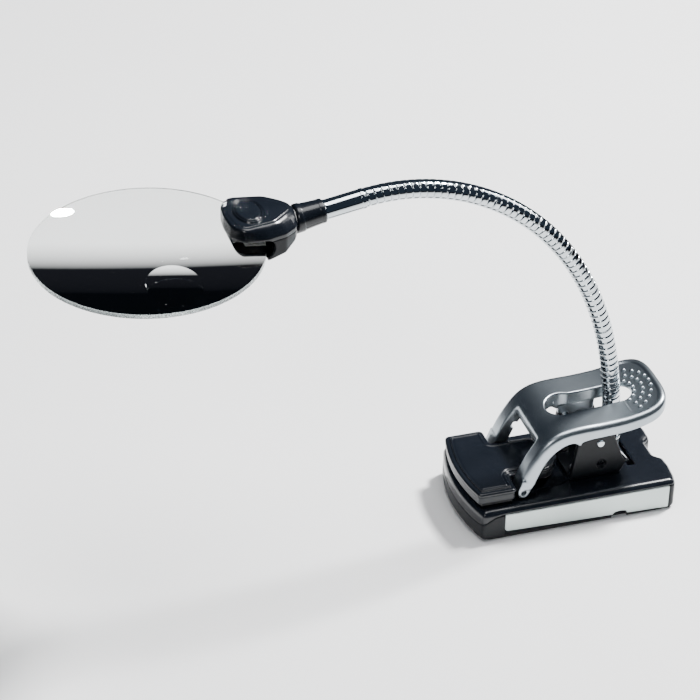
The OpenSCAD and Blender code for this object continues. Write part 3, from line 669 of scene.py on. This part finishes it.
def grip_studs():
    """Three arcs of small domes that stand square on the lever's upper face."""
    line = np.array(LEVER_TOP)
    turn = np.arange(STUD_SIDES) * 2 * math.pi / STUD_SIDES
    verts, faces = [], []
    for radius, count, step in STUD_ARCS:
        for k in range(count):
            a = math.radians((k - (count - 1) / 2) * step)
            x, y = STUD_X + radius * math.cos(a), radius * math.sin(a)
            z = float(np.interp(x, line[:, 0], line[:, 1]))
            slope = float(np.interp(x + 1, line[:, 0], line[:, 1])) - z
            sunk = GRIP_DEEP if x > GRIP_X + 2 else 0.0
            up = Vector((-slope, 0, 1)).normalized()
            u = Vector((0, 1, 0))
            v = up.cross(u)
            base = Vector((x, y, z)) - up * (sunk + 0.35)
            start = len(verts)
            for r, h in STUD_PROFILE:
                verts += [base + up * h + (u * math.cos(t) + v * math.sin(t)) * r for t in turn]
            verts.append(base + up * STUD_TIP)
            for j in range(len(STUD_PROFILE) - 1):
                for i in range(STUD_SIDES):
                    p, q = [start + j * STUD_SIDES + m for m in (i, (i + 1) % STUD_SIDES)]
                    faces.append((p, q, q + STUD_SIDES, p + STUD_SIDES))
            last = start + (len(STUD_PROFILE) - 1) * STUD_SIDES
            faces += [(last + i, last + (i + 1) % STUD_SIDES, len(verts) - 1) for i in range(STUD_SIDES)]
            faces.append(tuple(start + i for i in range(STUD_SIDES - 1, -1, -1)))
    place(add("lever_studs", verts, faces, SILVER), "lever", "silver")


# ---------------------------------------------------------------- jaw
JAW_FRONT, JAW_HALF, JAW_SPLIT = -55.2, 26.4, 24.3


def jaw_outline():
    """The jaw from above: its front follows the base's, its rear has a tongue between the lever's arms."""
    front = [(JAW_FRONT + y * y / (2 * FRONT_R), y, 0) for y in range(0, 24, 3)]
    corner = (JAW_FRONT + JAW_HALF ** 2 / (2 * FRONT_R), JAW_HALF, 2.6)
    return fillet_ring(mirrored(front + [corner, (-31.2, JAW_HALF, 2.4), (-31.2, 15, 1),
                                         (-30.2, 14.2, 1), (-9, 14.2, 7), (-1.8, 5, 5)]), 8)


def jaw():
    """The glossy cover, and the frame under it with the boss for the pins."""
    line = jaw_outline()
    g = Grid((-56.5, -27.5, 23), (-1, 27.5, 28), 0.27)
    plan = g.flat(line, "xy")
    f = both(plan, g.z - 26.3, 1.1)
    # the raised panel and the line pressed into it
    f = either(f, both(plan + 2.6, g.z - 27.15, 0.35), 0.2)
    f = less(f, within(np.abs(plan + 3.9) - 0.25, 26.85 - g.z), 0.15)
    f = both(f, JAW_SPLIT + 0.05 - g.z, 0.3)
    place(skin("jaw_top", g, f, GLOSS, 1), "jaw", "black_gloss", "jaw_cover")
    g = Grid((-56.5, -27.5, 17.5), (-1, 27.5, 25), 0.35)
    f = both(g.flat(line, "xy") + 0.45, g.z - (JAW_SPLIT - 0.05), 0.35)
    f = both(f, 19.7 - g.z, 0.9)
    f = either(f, within(across(g, JAW_HINGE, 2.4), np.abs(g.y) - 13.7), 0.3)
    f = less(f, across(g, JAW_HINGE, 1.3))
    place(skin("jaw_lower", g, f, DARK, 0.3), "jaw", "dark_satin", "jaw_frame")


# ---------------------------------------------------------------- goose-neck
PITCH, HOSE_R, HOSE_BORE, HOSE_DEEP, SEAM_DEEP = 3.6, 4.65, 3.0, 0.5, 0.3


def hose_radius(t):
    """The hose's radius at the share t of a turn: a flat crown, falling off to a fine seam."""
    seam = SEAM_DEEP if t < 0.035 or t > 0.965 else 0
    return HOSE_R - HOSE_DEEP * abs(2 * t - 1) ** 7 - seam


def hose():
    """Ten lengths of one wound hose; each reaches from the middle of a segment to the next one's."""
    n = 48
    turn = [2 * math.pi * k / n for k in range(n)]
    cuts = [0.0] + [SEGMENT * (i + 0.5) for i in range(SEGMENTS)] + [SEGMENT * SEGMENTS]

    def ring(s, radii):
        x, z, h = neck_point(s)
        side = Vector((math.sin(h), 0, -math.cos(h)))
        return [Vector((x, 0, z)) + (side * math.cos(a) + Vector((0, 1, 0)) * math.sin(a)) * r
                for a, r in zip(turn, radii)]

    for piece, (s0, s1) in enumerate(zip(cuts, cuts[1:])):
        steps = max(8, int(round((s1 - s0) / (PITCH / 20))))
        verts = []
        for s in np.linspace(s0, s1, steps + 1):
            verts += ring(s, [hose_radius((s / PITCH - k / n) % 1.0) for k in range(n)])
        starts = [j * n for j in range(steps + 1)]
        for s in np.linspace(s1, s0, 5):
            starts.append(len(verts))
            verts += ring(s, [HOSE_BORE] * n)
        faces = []
        for a, b in zip(starts, starts[1:] + [0]):
            for k in range(n):
                k2 = (k + 1) % n
                faces.append((a + k, a + k2, b + k2, b + k))
        ob = add("hose_%d" % piece, verts, faces, CHROME)
        if piece < SEGMENTS:
            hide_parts("neck_segment_%d" % (piece + 1))
            a = "base" if piece == 0 else "neck_%d" % piece
            b = "neck_%d" % (piece + 1) if piece < SEGMENTS - 1 else "head"
            (xa, za, _), (xb, zb, _) = neck_point(s0), neck_point(s1)
            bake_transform(ob)
        else:
            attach(ob, "head")


def socket():
    """The smooth sleeve that the neck stands in."""
    z1 = NECK_FOOT[1]
    prof = fillet([(2.95, 9.9), (4.0, 9.9), (4.0, TOP), (5.35, TOP, 0.2), (5.4, TOP + 0.8, 0.4),
                   (5.1, TOP + 1.4, 0.4), (5.15, z1 - 1.6, 0.3), (5.4, z1 - 1.2, 0.3),
                   (5.3, z1 - 0.45, 0.3), (4.2, z1 - 0.45), (2.95, z1 - 0.45)], 5)
    place(lathe("socket_sleeve", prof, (NECK_FOOT[0], 0, 0), (0, 0, 1), CHROME), "base", "chrome",
          "neck_socket")


# ---------------------------------------------------------------- head
NECK_END = neck_point(SEGMENT * SEGMENTS)
NECK_DIR = (math.cos(NECK_END[2]), 0, math.sin(NECK_END[2]))
HEAD = (NECK_END[0] + NECK_DIR[0] * 33.0, NECK_END[1] + NECK_DIR[2] * 33.0)
HEAD_REAR, PART_Z, UNDER_Z = -1.1, -0.3, -10.5
SHOULDER_Z, WALL_TOP, PANEL_Z, RING_Z, BUTTON_Z = 1.6, 7.2, 7.75, 8.25, 8.85
HOLDER, SCREW_AT, BUTTON_AT = 9.2, (-11.5, 9.2), -23.6


def head_plan(w):
    """The head from above, moved in by w."""
    return fillet_ring(mirrored([(HEAD_REAR - w, 6.9 - w * 0.6, 1), (-3.5, 10.4 - w, 3), (-9, 14.5 - w, 6),
                       (-18, 17.1 - w, 8), (-29.5 + w / 2, 16.7 - w, 3.5),
                       (-34.4 + w, 9.4 - w / 2, 9), (-36 + w, 0, 12)]), 10)


def at_head(ob):
    """Moves a piece from the head's own axes, which start where the collar ends, to the lamp's."""
    ob.data.transform(Matrix.Translation((HEAD[0] * MM, 0, HEAD[1] * MM)))
    return ob


def lens_room(g):
    """Tall mouths with a round end at the two sides, a low one in the middle."""
    mouth = np.minimum(box_field(g, (-45, -30, -8.6), (-19.5, 30, 0.8)), across(g, (-19.5, -3.9), 4.7))
    return np.minimum(within(mouth, HOLDER - np.abs(g.y)),
                      box_field(g, (-45, -HOLDER - 1, -9), (-15, HOLDER + 1, -2.4)))


def wire_hole(g):
    """The way for the wires from the neck into the head."""
    return within(np.hypot(g.y, g.z) - 2.9, -5 - g.x)


def ferrule():
    prof = fillet([(2.9, -0.6), (4.75, -0.6), (5.0, -0.2, 0.15), (5.0, 1.2, 0.2), (4.8, 1.5, 0.2),
                   (4.8, 18.5, 0.2), (4.95, 18.8, 0.15), (4.95, 19.7), (2.9, 19.7)], 5)
    ob = lathe("ferrule", prof, (NECK_END[0], 0, NECK_END[1]), NECK_DIR, CHROME)
    place(ob, "head", "chrome", "head_ferrule")


def collar():
    prof = fillet([(2.9, 19.7), (5.6, 19.7), (5.9, 20.0, 0.2), (6.0, 21.6, 0.3), (5.9, 21.9, 0.2),
                   (6.3, 27.5, 4), (6.55, 30.3, 0.8), (6.95, 30.8, 0.25), (6.98, 32.0, 0.1),
                   (6.98, 37.0), (2.9, 37.0)], 5)
    ob = lathe("collar", prof, (NECK_END[0], 0, NECK_END[1]), NECK_DIR, GLOSS)
    # its end is cut upright, where it meets the head
    plane = (HEAD[0] + HEAD_REAR) * MM
    for v in ob.data.vertices:
        if v.co.x < plane:
            v.co += Vector(NECK_DIR) * ((plane - v.co.x) / NECK_DIR[0])
    place(ob, "head", "black_gloss", "head_collar")


def button_oval(g, half_x, half_y, scale):
    """Near enough the distance to an ellipse about the button's middle."""
    return (np.hypot((g.x - BUTTON_AT) / half_x, g.y / half_y) - 1) * scale


def head_top():
    g = Grid((-37.5, -18.5, -6), (1, 18.5, 10), 0.25)
    plan = g.flat(head_plan(0), "xy")
    side = g.flat(fillet_ring([(HEAD_REAR, -30), (HEAD_REAR, 6.3, 1.2), (-7, 7.45, 6), (-35.8, 7.45, 1),
                               (-36.25, 1.5, 3), (-28.5, -30)]), "xz")
    # the walls lean in to the raised panel round the button
    panel = g.flat(fillet_ring(mirrored([(-3.6, 0, 1), (-5, 3.4, 2.5), (-14, 11.0, 6), (-28.6, 13.7, 3.5),
                               (-32.3, 9, 6), (-33.4, 0, 12)]), 10), "xy")
    lean = np.clip((g.z - SHOULDER_Z) / (WALL_TOP - SHOULDER_Z), 0, 1) ** 1.25
    walls = (1 - lean) * plan + lean * (panel - 2.2)
    f = both(walls, side, 1.7)
    f = either(f, both(both(panel, g.z - PANEL_Z, 0.25), 3 - g.z), 0.15)
    f = both(f, PART_Z + 0.08 - g.z, 0.3)
    f = less(f, within(walls + 1.8, g.z - 5.2, within(side + 1.8, -3 - g.z)))
    f = less(f, lens_room(g), 0.3)
    # the ceiling of the lens mouths, and the holder between them
    inside = within(within(walls, side) + 1.0, np.abs(g.y) - 16.2)
    ceiling = within(np.abs(g.z - 1.3) - 0.5, HOLDER - 1 - np.abs(g.y), g.x + 14.2)
    ribs = within(np.abs(g.z + 0.3) - 2.1, np.abs(np.abs(g.y) - HOLDER + 0.5) - 0.5,
                  np.abs(g.x + 23.2) - 11.2)
    lip = box_field(g, (-40, -HOLDER, -2.4), (-34, HOLDER, 1.8))
    f = np.minimum(f, within(inside, np.minimum(np.minimum(ceiling, ribs), lip)))
    # the screws' bosses and the switch board's posts
    boss = within(upright(g, SCREW_AT, 2.6), -4.5 - g.z)
    post = within(upright(g, (-16.8, 6.9), 1.1), -0.6 - g.z)
    f = np.minimum(f, within(np.minimum(boss, post), g.z - 6))
    # the ring round the button, its groove, and the button's hole
    oval = button_oval(g, 6.0, 9.3, 7.0)
    f = either(f, both(within(oval - 0.75, g.z - RING_Z), 6 - g.z), 0.15)
    f = less(f, within(np.abs(oval - 1.25) - 0.22, 7.3 - g.z), 0.15)
    f = less(f, within(oval, 3 - g.z), 0.2)
    f = less(f, within(upright(g, SCREW_AT, 1.05), g.z - 1))
    f = less(f, wire_hole(g))
    place(at_head(skin("head_top", g, f, GLOSS, 1)), "head", "black_gloss", "head_upper_shell")


def head_under():
    g = Grid((-37.5, -18.5, -11.5), (1, 18.5, 1), 0.25)
    line = fillet_ring([(HEAD_REAR - 0.2, 20), (HEAD_REAR - 0.2, -5, 1.5), (-3.5, -6.2, 2), (-9, -9.2, 4),
                        (-17, UNDER_Z, 4), (-32.9, UNDER_Z, 1.2), (-33.4, -8), (-36, 0.7), (-36, 20)])
    f = both(g.flat(head_plan(0.25), "xy"), g.flat(line, "xz"), 1.6)
    f = both(f, g.z - PART_Z + 0.08, 0.3)
    inner = g.flat([(-3, 3), (-3, -4.6), (-9.3, -7.8), (-16.5, -9.3), (-40, -9.3), (-40, 3)], "xz")
    f = less(f, within(g.flat(head_plan(2), "xy"), inner))
    f = less(f, np.minimum(lens_room(g), box_field(g, (-45, -HOLDER - 1, -9), (-15, HOLDER + 1, 3))), 0.3)
    f = less(f, within(g.x + 18.5, 13 - np.abs(g.y)), 0.4)
    # the screws' seats and holes, the window's opening and the wires' way
    f = np.minimum(f, within(upright(g, SCREW_AT, 2.8), np.abs(g.z + 8.05) - 1.15))
    f = less(f, upright(g, SCREW_AT, 1.35))
    f = less(f, within(upright(g, SCREW_AT, 2.3), g.z + 8.6))
    f = less(f, box_field(g, (-23.65, -6.3, -12), (-18.95, 6.3, -8.8)))
    f = less(f, wire_hole(g))
    place(at_head(skin("head_under", g, f, SATIN, 1)), "head", "black_satin", "head_lower_shell")


def button():
    g = Grid((BUTTON_AT - 7.5, -11, 4), (BUTTON_AT + 7.5, 11, 10), 0.22)
    dome = g.z - BUTTON_Z + 0.35 * ((g.x - BUTTON_AT) ** 2 / 33 + g.y ** 2 / 82)
    f = both(both(button_oval(g, 5.8, 9.1, 6.8), dome, 0.7), 5.8 - g.z)
    f = np.minimum(f, within(button_oval(g, 6.55, 9.85, 7.4), np.abs(g.z - 5.3) - 0.5))
    place(at_head(skin("button_cap", g, f, GLOSS, 1)), "button", "black_gloss", "power_button")


# ---------------------------------------------------------------- lens
LENS = (HEAD[0] - 72.0, HEAD[1] - 5.7)
LENS_R, RIM, SAG = 54.98, 2.2, 3.2  # radius, thickness at the rim, rise of each face
INSET_AT, INSET_SIZE = (3.6, -35.8), (12.8, 15.1)
INSET_LIFT, INSET_SAG = 0.25, 0.5
INSET_RINGS, TOP_RINGS, LOW_RINGS, AROUND = 22, 45, 50, 256


def lens_height(x, y):
    """Height of either face over the lens's middle plane."""
    return RIM / 2 + SAG * (1 - (x * x + y * y) / LENS_R ** 2)


def oval_ring(centre, a, b):
    turn = np.arange(AROUND) * 2 * math.pi / AROUND
    return [(centre[0] + a * math.cos(u), centre[1] + b * math.sin(u)) for u in turn]


def lens_rings():
    """Rings of points over the inset, down its step, out to the rim, and in again underneath."""
    (cx, cy), (a0, b0) = INSET_AT, INSET_SIZE
    for k in np.linspace(0.03, 1, INSET_RINGS):
        lift = INSET_LIFT + INSET_SAG * (1 - k * k)
        yield [(x, y, lens_height(x, y) + lift) for x, y in oval_ring(INSET_AT, a0 * k, b0 * k)]
    foot = 1.01
    for t in np.linspace(0, 1, TOP_RINGS + 1):
        a, b = [size * foot * (1 - t) + LENS_R * t for size in (a0, b0)]
        centre = (cx * (1 - t), cy * (1 - t))
        yield [(x, y, lens_height(x, y)) for x, y in oval_ring(centre, a, b)]
    for r in np.linspace(LENS_R, 0.5, LOW_RINGS):
        yield [(x, y, -lens_height(x, y)) for x, y in oval_ring((0, 0), r, r)]


def lens():
    """A double-convex disc with a raised inset on its upper face."""
    verts = [(LENS[0] + x, y, LENS[1] + z) for ring in lens_rings() for x, y, z in ring]
    starts = range(0, len(verts), AROUND)
    nexts = [(k, (k + 1) % AROUND) for k in range(AROUND)]
    faces = [(a + k, a + k2, b + k2, b + k) for a, b in zip(starts, starts[1:]) for k, k2 in nexts]
    top = lens_height(*INSET_AT) + INSET_LIFT + INSET_SAG
    for start, z, at in ((starts[0], top, INSET_AT), (starts[-1], -lens_height(0, 0), (0, 0))):
        faces += [(start + k, start + k2, len(verts)) for k, k2 in nexts]
        verts.append((LENS[0] + at[0], at[1], LENS[1] + z))
    ob = add("lens_disc", verts, faces, CLEAR)
    me = ob.data
    # the inset's step and the rim have sharp edges, and the rim is ground
    rim = INSET_RINGS + TOP_RINGS
    creased = (INSET_RINGS - 1, INSET_RINGS, rim, rim + 1)
    sharp = me.attributes.new("sharp_edge", "BOOLEAN", "EDGE")
    ends = [(e.vertices[0], e.vertices[1]) for e in me.edges]
    sharp.data.foreach_set("value", [a // AROUND in creased and b // AROUND in creased
                                     and abs(a - b) in (1, AROUND - 1) for a, b in ends])
    me.materials.append(EDGE)
    for f in me.polygons:
        if all(v // AROUND in (rim, rim + 1) for v in f.vertices):
            f.material_index = 1
    place(ob, "head", "clear", "lens")


for make in (base_shells, side_strips, bracket, pivot_pin, spring, spring_legs, lever, grip_studs, jaw,
             hose, socket, ferrule, collar, head_top, head_under, button, lens):
    make()

# ---------------------------------------------------------------- finishes of the CAD nodes that stay
KEPT = {"rubber_foot": RUBBER, "battery_door": SATIN, "batteries": SLEEVE, "battery_contacts": STEEL,
        "driver_board": BOARD, "counterweight": STEEL, "base_screws": STEEL, "lower_jaw_pad": RUBBER,
        "bracket_screws": STEEL, "socket_nut": STEEL, "upper_jaw_pad": RUBBER, "jaw_pins": STEEL,
        "button_switch": SATIN, "led_board": WHITE, "leds": LED, "led_window": FROST,
        "head_screws": STEEL}
for name, material in KEPT.items():
    me = nodes[name].data
    me.materials.clear()
    me.materials.append(material)

# ---------------------------------------------------------------- floor, light and camera
def math_node(nt, operation, a, b):
    """A math node; each side is a number or another node's output."""
    node = nt.nodes.new("ShaderNodeMath")
    node.operation = operation
    for side, value in zip(node.inputs, (a, b)):
        if isinstance(value, float):
            side.default_value = value
        else:
            nt.links.new(value, side)
    return node.outputs[0]


def fade(nt, value, start, end):
    """0 below start, 1 past end."""
    node = nt.nodes.new("ShaderNodeMapRange")
    node.inputs["From Min"].default_value = start
    node.inputs["From Max"].default_value = end
    nt.links.new(value, node.inputs["Value"])
    return node.outputs["Result"]


def camera_ray(nt):
    return nt.nodes.new("ShaderNodeLightPath").outputs["Is Camera Ray"]


def floor_material():
    m, nt, bsdf = new_material("floor_white")
    nt.links.new(ramp(nt, noise(nt, 6, 2.0), [(0.3, 0.88), (0.7, 0.90)]), bsdf.inputs["Base Color"])
    bsdf.inputs["Roughness"].default_value = 0.9
    bsdf.inputs["Specular IOR Level"].default_value = 0.1
    # for every ray but the camera's the floor fades to black past 0.34 m from the middle and past y = 0.27
    # m: a painted dark room, painted dark reflections that the mirrors and the lens show
    here = nt.nodes.new("ShaderNodeTexCoord").outputs["Object"]
    dist = nt.nodes.new("ShaderNodeVectorMath")
    dist.operation = "LENGTH"
    nt.links.new(here, dist.inputs[0])
    split = nt.nodes.new("ShaderNodeSeparateXYZ")
    nt.links.new(here, split.inputs[0])
    dark = math_node(nt, "MAXIMUM", fade(nt, dist.outputs["Value"], 0.34, 0.8),
                     fade(nt, split.outputs["Y"], 0.27, 0.36))
    painted_dark_amount = math_node(nt, "MULTIPLY", math_node(nt, "SUBTRACT", 1.0, camera_ray(nt)), dark)
    black = nt.nodes.new("ShaderNodeBsdfDiffuse")
    black.inputs["Color"].default_value = (0.004, 0.004, 0.005, 1)
    mix = nt.nodes.new("ShaderNodeMixShader")
    nt.links.new(painted_dark_amount, mix.inputs[0])
    nt.links.new(bsdf.outputs[0], mix.inputs[1])
    nt.links.new(black.outputs[0], mix.inputs[2])
    nt.links.new(mix.outputs[0], nt.nodes["Material Output"].inputs["Surface"])
    return m


def studio():
    """A dark room for the mirrors, behind a white one for the camera."""
    world = bpy.data.worlds.new("studio")
    bpy.context.scene.world = world
    world.use_nodes = True
    nt = world.node_tree
    nt.nodes.clear()
    mix = nt.nodes.new("ShaderNodeMixShader")
    nt.links.new(camera_ray(nt), mix.inputs[0])
    for k, color in enumerate(((0.03, 0.042, 0.062, 1), (1, 1, 1, 1))):
        room = nt.nodes.new("ShaderNodeBackground")
        room.inputs["Color"].default_value = color
        room.inputs["Strength"].default_value = 1.0
        nt.links.new(room.outputs[0], mix.inputs[k + 1])
    nt.links.new(mix.outputs[0], nt.nodes.new("ShaderNodeOutputWorld").inputs[0])


def area_light(name, at, aim, size, power, shape="RECTANGLE", spread=180):
    d = bpy.data.lights.new(name, "AREA")
    d.shape = shape
    d.size, d.size_y = size
    d.energy = power
    d.spread = math.radians(spread)
    ob = bpy.data.objects.new(name, d)
    ob.location = at
    ob.rotation_euler = (Vector(aim) - Vector(at)).to_track_quat("-Z", "Y").to_euler()
    bpy.context.scene.collection.objects.link(ob)


bpy.ops.mesh.primitive_plane_add(size=8, location=(0, 0, 0))
floor = bpy.context.object
floor.name = "floor"
floor.data.materials.append(floor_material())
studio()
area_light("overhead", (-0.05, 0.05, 1.7), (-0.08, 0.0, 0.0), (1.0, 0.8), 20)
area_light("key", (0.86, 0.37, 1.5), (-0.08, 0.0, 0.05), (0.28, 0.28), 88)
area_light("fill", (-1.2, -1.0, 1.2), (-0.05, 0.0, 0.08), (0.5, 0.5), 8)
area_light("rim", (1.3, 0.3, 0.75), (0.0, 0.0, 0.05), (0.35, 0.6), 5)
# a small lamp that the lens shows as one bright spot
area_light("spark", (-0.084, 1.228, 0.69), (-0.243, 0.041, 0.185), (0.045, 0.045), 0.08, "DISK", 7)

cam = bpy.data.cameras.new("camera")
cam.lens, cam.sensor_width = 154.3, 36.0
camera = bpy.data.objects.new("camera", cam)
eye, aim, roll = Vector((-0.4978, -1.1378, 0.9211)), Vector((-0.1126, 0.0, 0.1082)), math.radians(1.57)
camera.location = eye
camera.rotation_euler = ((aim - eye).to_track_quat("-Z", "Y").to_matrix()
                         @ Matrix.Rotation(roll, 3, "Z")).to_euler()
cam.clip_start, cam.clip_end = 0.05, 20
bpy.context.scene.collection.objects.link(camera)
bpy.context.scene.camera = camera
